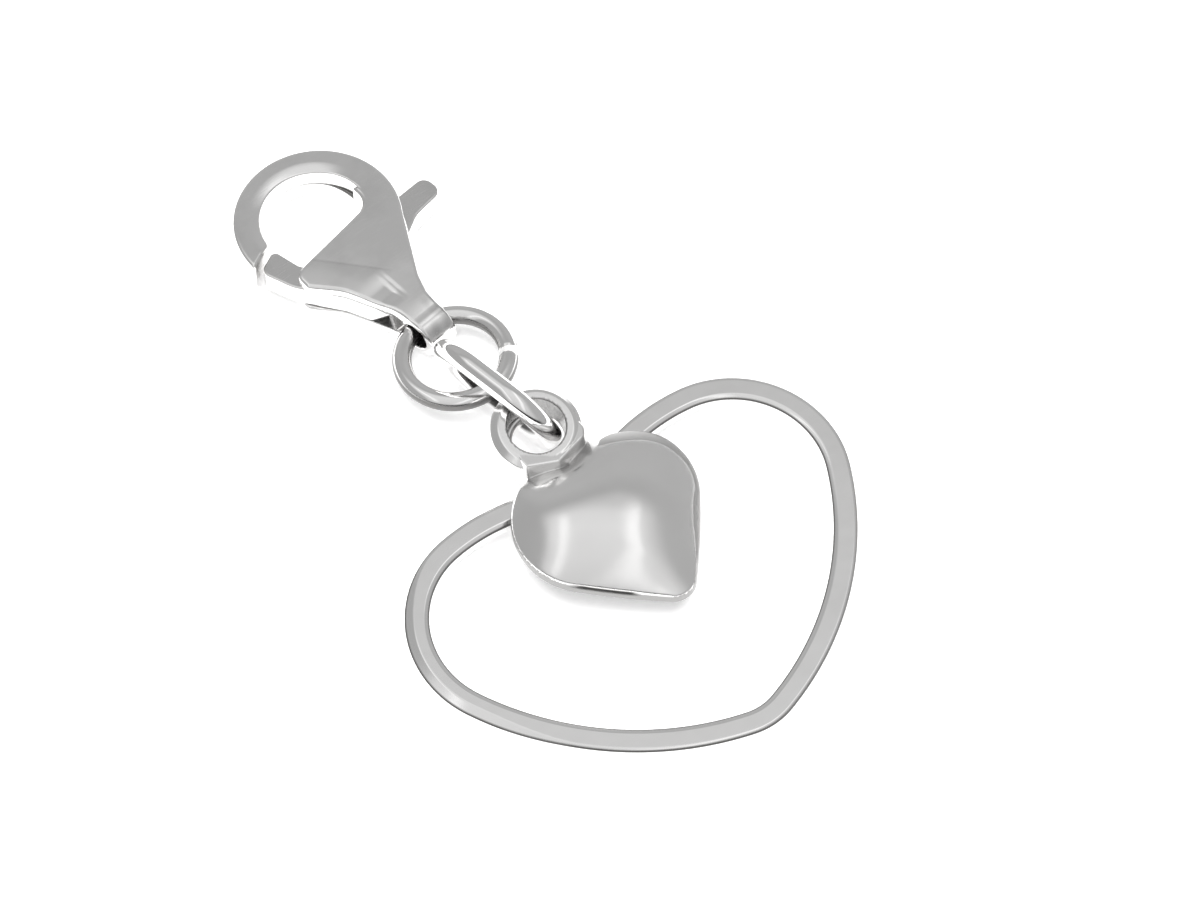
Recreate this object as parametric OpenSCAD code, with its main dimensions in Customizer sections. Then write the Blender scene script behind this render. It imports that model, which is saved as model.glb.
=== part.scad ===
// Double heart charm in polished silver: a lobster clasp, two jump rings,
// a large open heart and a small puffed heart. Millimetres, +Z up.
// It lies on its clasp, its link ring and the open heart's tip; both hearts point along -Y.

/* [Clasp] */
// Outer radius of the hook bow
hook_r = 3.87; // [3.75:0.01:3.95]
// Radius of the hook opening
hook_open_r = 2.44; // [2.35:0.01:2.5]
// Whole thickness of the clasp
clasp_t = 2.4; // [2.3:0.05:2.6]
// Rounding of the clasp's edges
clasp_edge = 0.3; // [0.15:0.01:0.35]
// Height of the slot that the trigger swings in
slot_h = 1.3; // [1.25:0.01:1.4]
// Width of the tail, across the clasp
tail_w = 1.54; // [1.4:0.02:1.56]
// Outer radius of the tail's end
tail_r = 1.06; // [1.0:0.01:1.2]
// Radius of the hole through the tail
tail_hole_r = 0.7; // [0.68:0.01:0.74]

/* [Trigger] */
// Thickness of the trigger plate
trigger_t = 1.2; // [1.0:0.01:1.22]
// Rounding of the trigger's edges
trigger_edge = 0.1; // [0.05:0.01:0.15]
// Radius of the hinge pin
pin_r = 0.35; // [0.3:0.01:0.4]
// Gap round the pin in the cheeks
pin_seat_gap = 0.02; // [0.01:0.01:0.04]
// Gap round the pin in the trigger
pin_swing_gap = 0.05; // [0.03:0.01:0.08]

/* [Open ring] */
// Radius of the ring, to the middle of its wire
open_ring_r = 2.4; // [2.34:0.01:2.42]
// Radius of the wire
open_wire_r = 0.44; // [0.4:0.01:0.46]
// Angle left open between the cut ends
open_gap = 9; // [4:0.5:14]

/* [Link ring] */
// Radius of its round ends, to the middle of the wire
link_end_r = 2.1; // [2.05:0.01:2.15]
// Length of its straight sides
link_side = 2.0; // [1.8:0.05:2.1]
// Radius of the wire
link_wire_r = 0.5; // [0.45:0.01:0.52]

/* [Outline heart] */
// Width of the bar, seen from above
bar_w = 1.06; // [0.9:0.02:1.2]
// Height of the bar
bar_h = 0.74; // [0.7:0.02:0.9]
// Rounding of the bar's edges
bar_edge = 0.2; // [0.1:0.01:0.3]
// Distance from the heart's middle to its tip
heart_tip = 9.75; // [9.7:0.01:9.8]

/* [Puffed heart] */
// Distance from the heart's middle to its tip
puff_tip = 4.41; // [4.38:0.01:4.46]
// Height of the dome over its rim
dome_h = 1.55; // [1.2:0.05:1.8]
// Height of the rim
rim_h = 0.42; // [0.36:0.02:0.5]
// Height of the loop on the heart
nut_h = 1.3; // [1.1:0.05:1.35]
// Distance from the heart's middle to the loop's middle
nut_y = 5.45; // [5.4:0.01:5.5]

/* [Loops] */
// Radius of the holes in both hearts' loops
loop_hole_r = 1.3; // [1.25:0.01:1.35]
// Outer radius of both loops
loop_r = 2.05; // [1.95:0.01:2.1]

/* [Hidden] */
$fn = 48;
silver = [0.78, 0.78, 0.77];
pale_silver = [0.86, 0.86, 0.85];
grey_silver = [0.68, 0.68, 0.68];

// Where the pieces lie: middle of each, and the angles that it is turned by
charm_shift = [2.43, -2.233, 0];
clasp_at = [-3.71, 16.34, 0];
clasp_turn = -81.9;
open_ring_at = [-2.76, 7.09, 1.38];
open_ring_lean = -4;
open_ring_cut = -32;
link_at = [-2.78, 3.8, 2.53];
link_turn = -78.8;
link_lean = 17;
heart_at = [-2.43, -5.45, 0];
heart_lift = 4.2;
puff_at = [-2.24, -4.56, 1.96];
puff_turn = 4.5;
puff_lift = 4.6;
flat_far = 1.82;
flat_turn = 23;
nut_edge = 0.17;
nut_x = -0.12;

// The clasp's own frame: hook opening at the origin, tail along +X, thumb side +Y
pin_at = [3.3, -1.2];
pin_cover = 0.2;
slot_root_x = 1.3;
slot_end_x = 6.0;
gate_way_x = 0.8;
gate_way_y = -0.7;
nose_turn = -91.5;
shoulder_turn = 58.3;
open_at = [-0.12, -0.08];
tail_x = 7.3;
tail_hole_x = 7.1;
tail_z = 1.2;

// Cheeks and neck, from the hook's back round by the tail to the start of its opening
// Rows: [x, y, fillet radius]
cheek_corners = [
    [5.38, 1.2, 2.2],
    [6.3, 0.85, 0.6],
    [7.2, 0.85, 0],
    [7.2, -0.85, 0],
    [6.0, -0.93, 3.0],
    [3.6, -1.86, 2.5],
    [2.3, -2.83, 0.4],
    [1.42, -2.72, 0.38],
    [1.02, 1.0, 2.0],
    [0.5, 2.28, 0.3]];

// Trigger, from the outer corner of the gate round by the tail and the thumb tab
// Rows: [x, y, fillet radius]
trigger_corners = [
    [0.18, -3.64, 0.15],
    [1.6, -3.1, 2.0],
    [2.6, -2.5, 2.0],
    [3.7, -1.8, 2.0],
    [4.9, -1.38, 0.3],
    [4.6, -0.2, 0.6],
    [3.7, 1.6, 1.5],
    [2.7, 3.6, 1.5],
    [2.55, 5.36, 0.5],
    [1.36, 5.3, 0.5],
    [1.36, 2.6, 0.5],
    [1.6, -1.7, 0.6],
    [0.95, -2.1, 0.4],
    [-0.22, -2.34, 0.2]];

// Halves of both hearts, from the tip up the right side to the lobe
// Rows: [arc radius, turn in degrees]
heart_arcs = [[3.0, 16], [14.6, 48], [4.6, 108], [9.4, 36]];
puff_arcs = [[1.0, 44.5], [36, 6.5], [3.42, 96], [2.14, 71]];
heart_step = 0.62;
puff_step = 0.55;
puff_wide = 1.03;

// A closed outline's points and its outward directions
function unit(v) = v / norm(v);

function bearing(v) = atan2(v[1], v[0]);

function fold(angle) = angle > 180 ? angle - 360 : angle < -180 ? angle + 360 : angle;

function arc_points(middle, r, from, turn, step) =
    let (n = max(1, ceil(abs(turn) / step)))
    [for (k = [0:n]) middle + r * [cos(from + turn * k / n), sin(from + turn * k / n)]];

function fillet(before, corner, after) =
    let (p = [corner[0], corner[1]])
    let (a = unit([before[0], before[1]] - p))
    let (b = unit([after[0], after[1]] - p))
    let (half = acos(a * b) / 2)
    let (r = corner[2])
    let (middle = p + unit(a + b) * r / sin(half))
    let (from = bearing(p + a * r / tan(half) - middle))
    let (to = bearing(p + b * r / tan(half) - middle))
    r == 0 ? [p] : arc_points(middle, r, from, fold(to - from), r < 0.5 ? 30 : 15);

function filleted(rows) = [for (i = [0:len(rows) - 1])
    each fillet(rows[(i + len(rows) - 1) % len(rows)], rows[i], rows[(i + 1) % len(rows)])];

function outward(points) = [for (i = [0:len(points) - 1])
    let (d = unit(points[(i + 1) % len(points)] - points[(i + len(points) - 1) % len(points)]))
    [d[1], -d[0]]];

// Points along arcs that run on from each other, then straight to the heart's axis
function arc_run(p, heading, arcs, step, i = 0) = i == len(arcs)
    ? [p, p - [p[0], p[0] * tan(heading)]]
    : let (r = arcs[i][0])
      let (turn = arcs[i][1])
      let (n = max(2, ceil(r * turn * PI / 180 / step)))
      let (middle = p + r * [-sin(heading), cos(heading)])
      concat([for (k = [0:n - 1]) middle + r * [sin(heading + turn * k / n), -cos(heading + turn * k / n)]],
          arc_run(middle + r * [sin(heading + turn), -cos(heading + turn)], heading + turn, arcs, step, i + 1));

function heart_points(tip, arcs, step) =
    let (half = arc_run([0, -tip], 0, arcs, step))
    concat(half, [for (i = [len(half) - 2:-1:1]) [-half[i][0], half[i][1]]]);

// Cuts a flat outline into triangles, one corner at a time
function side_of(a, b, p) = (b[0] - a[0]) * (p[1] - a[1]) - (b[1] - a[1]) * (p[0] - a[0]);

function covers(a, b, c, p) = side_of(a, b, p) >= 0 && side_of(b, c, p) >= 0 && side_of(c, a, p) >= 0;

function can_cut(points, ids, k) =
    let (n = len(ids))
    let (a = points[ids[(k + n - 1) % n]])
    let (b = points[ids[k]])
    let (c = points[ids[(k + 1) % n]])
    side_of(a, b, c) > 0 && len([for (j = [2:n - 2]) if (covers(a, b, c, points[ids[(k + j) % n]])) j]) == 0;

function corner_to_cut(points, ids, k = 0) =
    k >= len(ids) - 1 || can_cut(points, ids, k) ? k : corner_to_cut(points, ids, k + 1);

function triangles(points, ids) = len(ids) == 3 ? [ids]
    : let (k = corner_to_cut(points, ids))
      let (n = len(ids))
      concat([[ids[(k + n - 1) % n], ids[k], ids[(k + 1) % n]]],
          triangles(points, [for (j = [0:n - 1]) if (j != k) ids[j]]));

// A solid through rings of equal length, closed by flat caps
module skin(rings) {
    n = len(rings[0]);
    top = len(rings) - 1;
    all_ids = [for (i = [0:n - 1]) i];
    sides = [for (k = [0:top - 1]) for (i = [0:n - 1]) let (j = (i + 1) % n) each [
        [k * n + i, (k + 1) * n + i, (k + 1) * n + j],
        [k * n + i, (k + 1) * n + j, k * n + j]]];
    caps = concat(triangles(rings[0], all_ids),
        [for (t = triangles(rings[top], all_ids)) [top * n + t[2], top * n + t[1], top * n + t[0]]]);
    polyhedron(points = [for (ring = rings) each ring], faces = concat(sides, caps));
}

// A plate with rounded edges; z runs from 0 to t
module soft_plate(outline, t, edge) {
    out = outward(outline);
    levels = [for (a = [0:45:90]) [edge - edge * cos(a), edge - edge * sin(a)]];
    rows = concat(levels, [for (k = [2:-1:0]) [t - levels[k][0], levels[k][1]]]);
    skin([for (row = rows) [for (i = [0:len(outline) - 1])
        concat(outline[i] - out[i] * row[1], row[0])]]);
}

// A bar with rounded edges that follows a closed path in the XY plane
module closed_bar(path, w, h, edge) {
    out = outward(path);
    n = len(path);
    section = [for (i = [0:3]) let (sx = i == 0 || i == 3 ? 1 : -1) let (sy = i < 2 ? 1 : -1)
        each arc_points([sx * (w / 2 - edge), h / 2 + sy * (h / 2 - edge)], edge, 90 * i, 90, 45)];
    m = len(section);
    points = [for (i = [0:n - 1]) for (s = section) concat(path[i] + out[i] * s[0], s[1])];
    faces = [for (i = [0:n - 1]) for (j = [0:m - 1])
        let (next = ((i + 1) % n) * m)
        let (k = (j + 1) % m)
        each [[i * m + j, i * m + k, next + k], [i * m + j, next + k, next + j]]];
    polyhedron(points = points, faces = faces);
}

// A flat ring with bevelled edges, standing on z = 0
module bevel_ring(r, hole_r, h, edge) {
    rotate_extrude()
        polygon([[hole_r, edge], [hole_r + edge, 0], [r - edge, 0], [r, edge],
            [r, h - edge], [r - edge, h], [hole_r + edge, h], [hole_r, h - edge]]);
}

module lie_clasp() {
    translate(charm_shift + clasp_at)
        rotate([0, 0, clasp_turn])
            children();
}

function clasp_outline() =
    let (back = arc_points([0, 0], hook_r, nose_turn, shoulder_turn - nose_turn - 360, 7))
    let (opening = arc_points(open_at, hook_open_r, 82, 178, 8))
    let (rows = concat([back[len(back) - 1]], cheek_corners, [opening[0]]))
    let (cheek = [for (i = [1:len(rows) - 2]) each fillet(rows[i - 1], rows[i], rows[i + 1])])
    let (turned = concat(back, cheek, opening))
    [for (i = [len(turned) - 1:-1:0]) turned[i]];

module clasp_body() {
    slot_z = (clasp_t - slot_h) / 2;
    color(silver)
        lie_clasp()
            difference() {
                union() {
                    soft_plate(clasp_outline(), clasp_t, clasp_edge);
                    translate([tail_x, tail_w / 2, tail_z])
                        rotate([90, 0, 0])
                            cylinder(r = tail_r, h = tail_w);
                }
                translate([slot_root_x, -5, slot_z])
                    cube([slot_end_x - slot_root_x, 10, slot_h]);
                translate([gate_way_x, -5, slot_z])
                    cube([slot_end_x - gate_way_x, 5 + gate_way_y, slot_h]);
                translate([tail_hole_x, tail_w, tail_z])
                    rotate([90, 0, 0])
                        cylinder(r = tail_hole_r, h = 2 * tail_w);
                translate([pin_at[0], pin_at[1], -1])
                    cylinder(r = pin_r + pin_seat_gap, h = clasp_t + 1 - pin_cover);
            }
}

module clasp_trigger() {
    color(grey_silver)
        lie_clasp()
            translate([0, 0, (clasp_t - trigger_t) / 2])
                difference() {
                    soft_plate(filleted(trigger_corners), trigger_t, trigger_edge);
                    translate([pin_at[0], pin_at[1], -1])
                        cylinder(r = pin_r + pin_swing_gap, h = trigger_t + 2);
                }
}

module clasp_pin() {
    color(pale_silver)
        lie_clasp()
            translate([pin_at[0], pin_at[1], 0])
                cylinder(r = pin_r, h = clasp_t - pin_cover - pin_seat_gap);
}

module jump_ring_open() {
    color(pale_silver)
        translate(charm_shift + open_ring_at)
            rotate([open_ring_lean, 0, 0])
                rotate([0, 0, open_ring_cut + open_gap / 2])
                    rotate_extrude(angle = 360 - open_gap)
                        translate([open_ring_r, 0])
                            circle(r = open_wire_r);
}

module jump_ring_link() {
    overlap = 0.01;
    color(pale_silver)
        translate(charm_shift + link_at)
            rotate([0, 0, link_turn])
                rotate([90 + link_lean, 0, 0])
                    for (side = [0, 180])
                        rotate([0, 0, side])
                            translate([link_side / 2, 0, 0]) {
                                rotate([0, 0, -90])
                                    rotate_extrude(angle = 180)
                                        translate([link_end_r, 0])
                                            circle(r = link_wire_r);
                                translate([overlap, link_end_r, 0])
                                    rotate([0, -90, 0])
                                        cylinder(r = link_wire_r, h = link_side + 2 * overlap);
                            }
}

module outline_heart() {
    path = heart_points(heart_tip, heart_arcs, heart_step);
    notch_y = path[floor(len(path) / 2)][1];
    loop_y = 6.55;
    neck_w = 1.5;
    color(silver)
        translate(charm_shift + heart_at + [0, -(heart_tip + bar_w / 2) * cos(heart_lift), 0])
            rotate([heart_lift, 0, 0])
                translate([0, heart_tip + bar_w / 2, 0]) {
                    closed_bar(path, bar_w, bar_h, bar_edge);
                    translate([0, loop_y, 0])
                        bevel_ring(loop_r, loop_hole_r, bar_h, bar_edge);
                    translate([-neck_w / 2, notch_y - 0.2, bar_edge / 2])
                        cube([neck_w, loop_y - loop_hole_r - 0.3 - notch_y, bar_h - bar_edge]);
                }
}

// The small heart's loop before it is drilled: a bevelled disc with two flats on the heart's side
module flat_sided_disc(r, flat_far, h, edge) {
    translate([nut_x, nut_y, 0])
        difference() {
            rotate_extrude()
                polygon([[0, 0], [r - edge, 0], [r, edge], [r, h - edge], [r - edge, h], [0, h]]);
            for (side = [-1, 1])
                rotate([0, 0, side * flat_turn])
                    translate([-r, -flat_far - 1, -1])
                        cube([2 * r, 1, h + 2]);
        }
}

module puffed_heart() {
    outline = [for (p = heart_points(puff_tip, puff_arcs, puff_step)) [puff_wide * p[0], p[1]]];
    round_r = 3.6;
    rim = [[0.95, 0], [0.99, 0.06], [1, 0.16], [1, rim_h - 0.14], [0.985, rim_h]];
    dome = [for (s = [0.93, 0.86, 0.77, 0.66, 0.54, 0.4, 0.24, 0.08])
        [s, rim_h + 0.1 + dome_h * (1 - pow(s, 2.3))]];
    rings = [for (row = concat(rim, dome)) let (keep = pow(row[0], 1.5))
        [for (p = outline) concat(row[0] * (keep * p + (1 - keep) * round_r * unit(p)), row[1])]];
    color(silver)
        translate(charm_shift + puff_at)
            rotate([0, 0, puff_turn])
                rotate([puff_lift, 0, 0])
                    translate([0, 0, -0.3])
                        difference() {
                            union() {
                                skin(rings);
                                flat_sided_disc(loop_r, flat_far, nut_h, nut_edge);
                            }
                            translate([nut_x, nut_y, -1])
                                cylinder(r = loop_hole_r, h = nut_h + 2);
                        }
}

clasp_body();
clasp_trigger();
clasp_pin();
jump_ring_open();
jump_ring_link();
outline_heart();
puffed_heart();
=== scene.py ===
import math

import bpy
import numpy as np
from mathutils import Matrix, Vector


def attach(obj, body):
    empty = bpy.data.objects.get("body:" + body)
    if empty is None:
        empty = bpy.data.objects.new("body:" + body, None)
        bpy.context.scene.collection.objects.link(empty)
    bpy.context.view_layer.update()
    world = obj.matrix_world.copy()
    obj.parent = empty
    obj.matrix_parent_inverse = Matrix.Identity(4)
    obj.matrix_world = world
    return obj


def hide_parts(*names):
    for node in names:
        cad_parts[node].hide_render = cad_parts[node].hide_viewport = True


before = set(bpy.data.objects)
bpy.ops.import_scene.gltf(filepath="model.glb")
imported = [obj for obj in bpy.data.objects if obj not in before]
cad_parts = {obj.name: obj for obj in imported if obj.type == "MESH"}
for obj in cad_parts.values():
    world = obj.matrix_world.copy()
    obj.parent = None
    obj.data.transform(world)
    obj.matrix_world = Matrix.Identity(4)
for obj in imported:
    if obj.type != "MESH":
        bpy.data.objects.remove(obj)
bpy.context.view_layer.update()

mm = 0.001


# Solids are functions of x, y and z in millimetres that are below zero inside.

def roundedAnd(first, second, radius):
    deepest = np.minimum(np.maximum(first, second), -radius)
    return deepest + np.hypot(np.maximum(first + radius, 0), np.maximum(second + radius, 0))


def filletedOr(first, second, radius):
    return -roundedAnd(-first, -second, radius)


def eased(share):
    share = np.clip(share, 0, 1)
    return share * share * (3 - 2 * share)


def risen(value, start, run):
    # 0 before start, 1 once it has run its length, smooth between; a run below zero goes the other way
    return eased((value - start) / run)


def ridge(value, middle, wide, power=2):
    # 1 on the middle and fading out on both sides
    return np.exp(-((value - middle) / wide) ** power)


def within(value, ends):
    return (value > ends[0]) & (value < ends[1])


def unitOf(vector):
    return vector / np.linalg.norm(vector)


def roundedOutline(rows):
    # anticlockwise corners [x, y, radius] become straight runs and corner arcs
    points = np.array([row[:2] for row in rows], float)
    entries, exits, arcs = [], [], []
    for number, row in enumerate(rows):
        corner, radius = points[number], row[2]
        back = unitOf(points[number - 1] - corner)
        ahead = unitOf(points[(number + 1) % len(rows)] - corner)
        half = math.acos(np.clip(back @ ahead, -1, 1)) / 2
        bend = 1 if ahead[1] * back[0] - ahead[0] * back[1] < 0 else -1
        middle = corner + unitOf(back + ahead) * radius / math.sin(half)
        entries.append(corner + back * radius / math.tan(half))
        exits.append(corner + ahead * radius / math.tan(half))
        arcs.append((middle, radius, unitOf(corner - middle), math.sin(half), bend))
    runs = [(exits[number - 1], entries[number]) for number in range(len(rows))]
    return runs, arcs


def outlineDistance(outline, x, y):
    runs, arcs = outline
    best = np.full(np.broadcast(x, y).shape, 1e9)
    for start, end in runs:
        along = end - start
        share = np.clip(((x - start[0]) * along[0] + (y - start[1]) * along[1]) / (along @ along), 0, 1)
        gap = np.hypot(x - start[0] - share * along[0], y - start[1] - share * along[1])
        gap = np.where(along[0] * (y - start[1]) - along[1] * (x - start[0]) > 0, -gap, gap)
        best = np.where(np.abs(gap) < np.abs(best), gap, best)
    for middle, radius, facing, reach, bend in arcs:
        away = np.hypot(x - middle[0], y - middle[1])
        gap = (away - radius) * bend
        inside = (x - middle[0]) * facing[0] + (y - middle[1]) * facing[1] >= reach * away
        best = np.where(inside & (np.abs(gap) < np.abs(best)), gap, best)
    return best


def slopeOf(solid, points, step=0.012):
    # central differences along x, y and z
    slopes = []
    for axis in range(3):
        shift = np.zeros(3)
        shift[axis] = step
        ahead = solid(*(points + shift).T)
        behind = solid(*(points - shift).T)
        slopes.append((ahead - behind) / (2 * step))
    return np.stack(slopes, 1)


def settle(solid, points, cell, rounds):
    for _ in range(rounds):
        slope = slopeOf(solid, points)
        steep = np.maximum((slope ** 2).sum(1), 0.05)
        move = -(solid(*points.T) / steep)[:, None] * slope
        length = np.linalg.norm(move, axis=1, keepdims=True)
        points = points + move * np.minimum(1, 0.5 * cell / np.maximum(length, 1e-12))
    return points


def shifted(cells, axes, steps):
    moved = cells.copy()
    moved[:, axes] += steps
    return moved


def netOver(solid, low, high, cell):
    # one point in each grid cell that the surface crosses, one quad across each crossed grid edge
    axes = [np.arange(low[k] - 1.5 * cell, high[k] + 2.5 * cell, cell) for k in range(3)]
    values = solid(axes[0][:, None, None], axes[1][None, :, None], axes[2][None, None, :])
    values = np.where(np.abs(values) < 1e-9, 1e-9, values)
    cells = tuple(count - 1 for count in values.shape)
    total = np.zeros(cells + (3,))
    crossings = np.zeros(cells)
    quads = []
    for axis in range(3):
        others = [k for k in range(3) if k != axis]
        start, end = np.delete(values, -1, axis), np.delete(values, 0, axis)
        crossed = (start < 0) != (end < 0)
        where = np.argwhere(crossed)
        share = start[crossed] / (start[crossed] - end[crossed])
        place = where.astype(float)
        place[:, axis] += share
        for steps in ((0, 0), (0, -1), (-1, 0), (-1, -1)):
            home = shifted(where, others, steps)
            fits = ((home >= 0) & (home < cells)).all(1)
            spot = tuple(home[fits].T)
            np.add.at(total, spot, place[fits])
            np.add.at(crossings, spot, 1)
        ring = [shifted(where, others, steps) for steps in ((-1, -1), (0, -1), (0, 0), (-1, 0))]
        inwards = start[crossed] < 0
        quads.append((np.stack(ring, 1), inwards if axis != 1 else ~inwards))
    used = crossings > 0
    names = np.full(cells, -1)
    names[used] = np.arange(used.sum())
    points = total[used] / crossings[used][:, None] * cell + np.array([axis[0] for axis in axes])
    faces = []
    for ring, inwards in quads:
        face = names[ring[..., 0], ring[..., 1], ring[..., 2]]
        faces.append(np.where(inwards[:, None], face, face[:, ::-1]))
    return points, np.concatenate(faces)


def relax(points, faces):
    # moves each point half way to the middle of its neighbours
    pairs = np.concatenate([faces[:, [k, (k + 1) % 4]] for k in range(4)])
    pairs = np.concatenate([pairs, pairs[:, ::-1]])
    weight = np.maximum(np.bincount(pairs[:, 0], minlength=len(points)), 1)
    middle = np.stack([
        np.bincount(pairs[:, 0], points[pairs[:, 1], k], len(points)) / weight for k in range(3)], 1)
    return points + (middle - points) * 0.5


def meshFrom(name, points, faces, normals):
    mesh = bpy.data.meshes.new(name)
    mesh.vertices.add(len(points))
    mesh.vertices.foreach_set("co", points.astype(np.float32).ravel())
    mesh.loops.add(faces.size)
    mesh.loops.foreach_set("vertex_index", faces.astype(np.int32).ravel())
    mesh.polygons.add(len(faces))
    mesh.polygons.foreach_set("loop_start", np.arange(0, faces.size, 4, dtype=np.int32))
    mesh.polygons.foreach_set("loop_total", np.full(len(faces), 4, np.int32))
    mesh.update(calc_edges=True)
    mesh.validate()
    mesh.polygons.foreach_set("use_smooth", np.ones(len(mesh.polygons), bool))
    mesh.normals_split_custom_set_from_vertices([tuple(normal) for normal in normals])
    return mesh


# a point attribute that darkens the silver: mostly painted shade, with tarnish and dark seams in a few places
def addShadeAndTarnish(mesh, shade):
    layer = mesh.attributes.new("shadeAndTarnish", "FLOAT", "POINT")
    layer.data.foreach_set("value", shade.astype(np.float32))


def newObject(name, data):
    thing = bpy.data.objects.new(name, data)
    bpy.context.scene.collection.objects.link(thing)
    return thing


def showPiece(name, mesh, paint, body, nodes):
    piece = newObject(name, mesh)
    if not mesh.materials:
        mesh.materials.append(paint)
    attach(piece, body)
    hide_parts(*nodes)
    print(name, "has", len(mesh.polygons), "faces")


def carvedMesh(name, solid, low, high, cell, lie, shadeAndTarnish=None):
    points, faces = netOver(solid, low, high, cell)
    points = settle(solid, points, cell, 2)
    for _ in range(2):
        points = settle(solid, relax(points, faces), cell, 2)
    normals = slopeOf(solid, points)
    normals /= np.maximum(np.linalg.norm(normals, axis=1, keepdims=True), 1e-9)
    turn = np.array(lie.to_3x3())
    placed = (points @ turn.T + np.array(lie.translation)) * mm
    mesh = meshFrom(name, placed, faces, normals @ turn.T)
    if shadeAndTarnish is not None:
        addShadeAndTarnish(mesh, shadeAndTarnish(points, normals))
    return mesh


# Shader and geometry sums written as plain arithmetic

class Signal:
    # one output socket of a node tree
    def __init__(self, tree, socket):
        self.tree = tree
        self.socket = socket

    def make(self, kind, settings=None, inputs=None, output=0):
        return addNode(self.tree, kind, settings, inputs).read(output)

    def read(self, output):
        return Signal(self.tree, self.socket.node.outputs[output])

    def sum(self, operation, *values):
        return self.make("ShaderNodeMath", {"operation": operation}, dict(enumerate(values)))

    def __add__(self, other):
        return self.sum("ADD", self, other)

    def __radd__(self, other):
        return self.sum("ADD", other, self)

    def __sub__(self, other):
        return self.sum("SUBTRACT", self, other)

    def __rsub__(self, other):
        return self.sum("SUBTRACT", other, self)

    def __mul__(self, other):
        return self.sum("MULTIPLY", self, other)

    def __rmul__(self, other):
        return self.sum("MULTIPLY", other, self)

    def __truediv__(self, other):
        return self.sum("DIVIDE", self, other)

    def __pow__(self, other):
        return self.sum("POWER", self, other)

    def larger(self, other):
        return self.sum("MAXIMUM", self, other)

    def smaller(self, other):
        return self.sum("MINIMUM", self, other)

    def size(self):
        return self.sum("ABSOLUTE", self)

    def dot(self, direction):
        return self.make("ShaderNodeVectorMath", {"operation": "DOT_PRODUCT"}, {0: self, 1: direction}, "Value")

    def scaled(self, factors):
        return self.make("ShaderNodeVectorMath", {"operation": "MULTIPLY"}, {0: self, 1: factors})

    def ease(self, low, high):
        # 0 below low, 1 above high, smooth between
        return self.make("ShaderNodeMapRange", {"interpolation_type": "SMOOTHSTEP"},
                         {"Value": self, "From Min": low, "From Max": high})


def addNode(tree, kind, settings=None, inputs=None):
    node = tree.nodes.new(kind)
    for key, value in (settings or {}).items():
        setattr(node, key, value)
    for key, value in (inputs or {}).items():
        if isinstance(value, Signal):
            tree.links.new(value.socket, node.inputs[key])
        else:
            node.inputs[key].default_value = value
    return Signal(tree, node.outputs[0]) if len(node.outputs) else node


def colourBetween(low, high, share):
    # a colour Mix node: its colour inputs are sockets 6 and 7, its result is output 2
    return share.make("ShaderNodeMix", {"data_type": "RGBA"}, {0: share, 6: low, 7: high}, 2)


def noiseOf(place, scale, detail, rough):
    return place.make("ShaderNodeTexNoise", None,
                      {"Vector": place, "Scale": scale, "Detail": detail, "Roughness": rough})


def turnedPlace(place, turn, stretch):
    turn = tuple(math.radians(angle) for angle in turn)
    return place.make("ShaderNodeMapping", None, {"Vector": place, "Rotation": turn, "Scale": stretch})


def bandOf(value, rise, fall):
    # 1 between the rise and the fall
    return value.ease(*rise) * (1 - value.ease(*fall))


def emptied(block):
    # a new material or world without its ready-made nodes
    block.use_nodes = True
    block.node_tree.nodes.clear()
    return block, block.node_tree


def placeInMillimetres(tree):
    return addNode(tree, "ShaderNodeTexCoord").read("Object").scaled((1000, 1000, 1000))


# Materials

silverLooks = {
    "clasp": {"tone": (0.94, 0.935, 0.93, 1), "shade": (0.70, 0.695, 0.69, 1),
              "rough": 0.13, "hairs": 0.8, "grain": 0.9},
    "trigger": {"tone": (0.82, 0.815, 0.81, 1), "shade": (0.5, 0.495, 0.49, 1),
                "rough": 0.19, "hairs": 1.0, "grain": 1.0},
    "wire": {"tone": (0.93, 0.925, 0.92, 1), "shade": (0.82, 0.81, 0.805, 1),
             "rough": 0.07, "hairs": 0.35, "grain": 0.3},
    "openHeart": {"tone": (0.93, 0.925, 0.92, 1), "shade": (0.83, 0.82, 0.815, 1),
                  "rough": 0.11, "hairs": 0.5, "grain": 0.5},
    "smallHeart": {"tone": (0.94, 0.935, 0.93, 1), "shade": (0.85, 0.84, 0.835, 1),
                   "rough": 0.12, "hairs": 0.35, "grain": 0.45},
}
# what all the silver shares: hairs are turned and stretched noise, heights are in millimetres, and the last tone
# and roughness go where painted shade and tarnish darken the silver
silverWearAndShade = {
    "cloudScale": 0.35, "cloudWear": 0.3, "cloudFade": (0.46, 0.7),
    "grainScale": 14, "grainWear": 0.25, "grainFade": (0.55, 0.8), "grainHigh": 0.00035,
    "hairLays": (((0, 0, 25), (1.2, 26, 26)), ((0, 0, -48), (0.8, 30, 30)), ((14, 70, 80), (1.0, 24, 24))),
    "hairFrom": 0.62, "hairFull": 0.74, "hairDeep": 0.0005, "waveScale": 0.9, "waveHigh": 0.006,
    "roughMore": 0.05, "roughFade": (0.5, 0.75), "shadeAndTarnishTone": (0.045, 0.043, 0.041, 1), "shadeAndTarnishRough": 0.22,
}


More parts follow.
